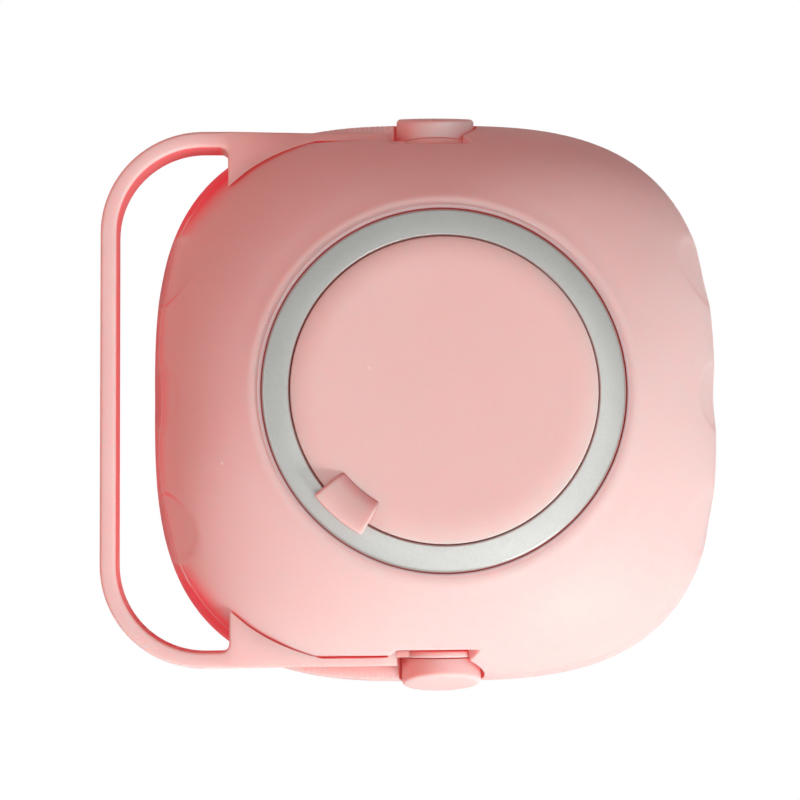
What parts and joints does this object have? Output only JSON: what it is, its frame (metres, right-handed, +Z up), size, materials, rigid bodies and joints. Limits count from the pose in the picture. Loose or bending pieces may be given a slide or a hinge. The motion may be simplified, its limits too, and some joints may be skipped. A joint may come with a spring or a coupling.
{
  "type": "silicone bath brush",
  "caption": "Palm-sized squeeze bath brush of soft silicone: soap reservoir under a plug lid with a pull tab, bristle pad below, hand strap that swings on side studs.",
  "frame": {"origin": "under the centre of the body, on the plane of the bristle tips it rests on", "axes": "+Z up out of the lid, -X towards the stowed hand strap, Y along the axis through the two strap studs"},
  "size_m": [0.0922, 0.0872, 0.0483],
  "materials": {
    "body_silicone": "matte soft-touch pink silicone",
    "strap_silicone": "matte soft-touch pink silicone, thin and slightly translucent",
    "lid_silicone": "matte soft-touch pink silicone",
    "ring_plastic": "satin silver-grey moulded plastic",
    "sleeve_plastic": "natural white moulded plastic",
    "seal_silicone": "milky translucent silicone"
  },
  "bodies": {
    "brush_body": {"upper_shell": "body_silicone", "bristle_pad": "body_silicone", "bezel_ring": "ring_plastic", "neck_sleeve": "sleeve_plastic", "strap_stud_back": "body_silicone", "strap_stud_front": "body_silicone"},
    "strap": {"hand_strap": "strap_silicone"},
    "seal": {"lid_seal": "seal_silicone"},
    "plug_lid": {"lid": "lid_silicone"}
  },
  "joints": [
    {"name": "strap_swing", "type": "hinge", "parent": "brush_body", "child": "strap", "pos_m": [0, 0, 0.031], "axis": [0, 1, 0], "range_deg": [0, 90]},
    {"name": "lid_lift", "type": "slide", "parent": "brush_body", "child": "seal", "axis": [0, 0, 1], "range_m": [0, 0.025]},
    {"name": "lid_turn", "type": "hinge", "parent": "seal", "child": "plug_lid", "pos_m": [0, 0, 0.0431], "axis": [0, 0, 1], "continuous": true}
  ]
}
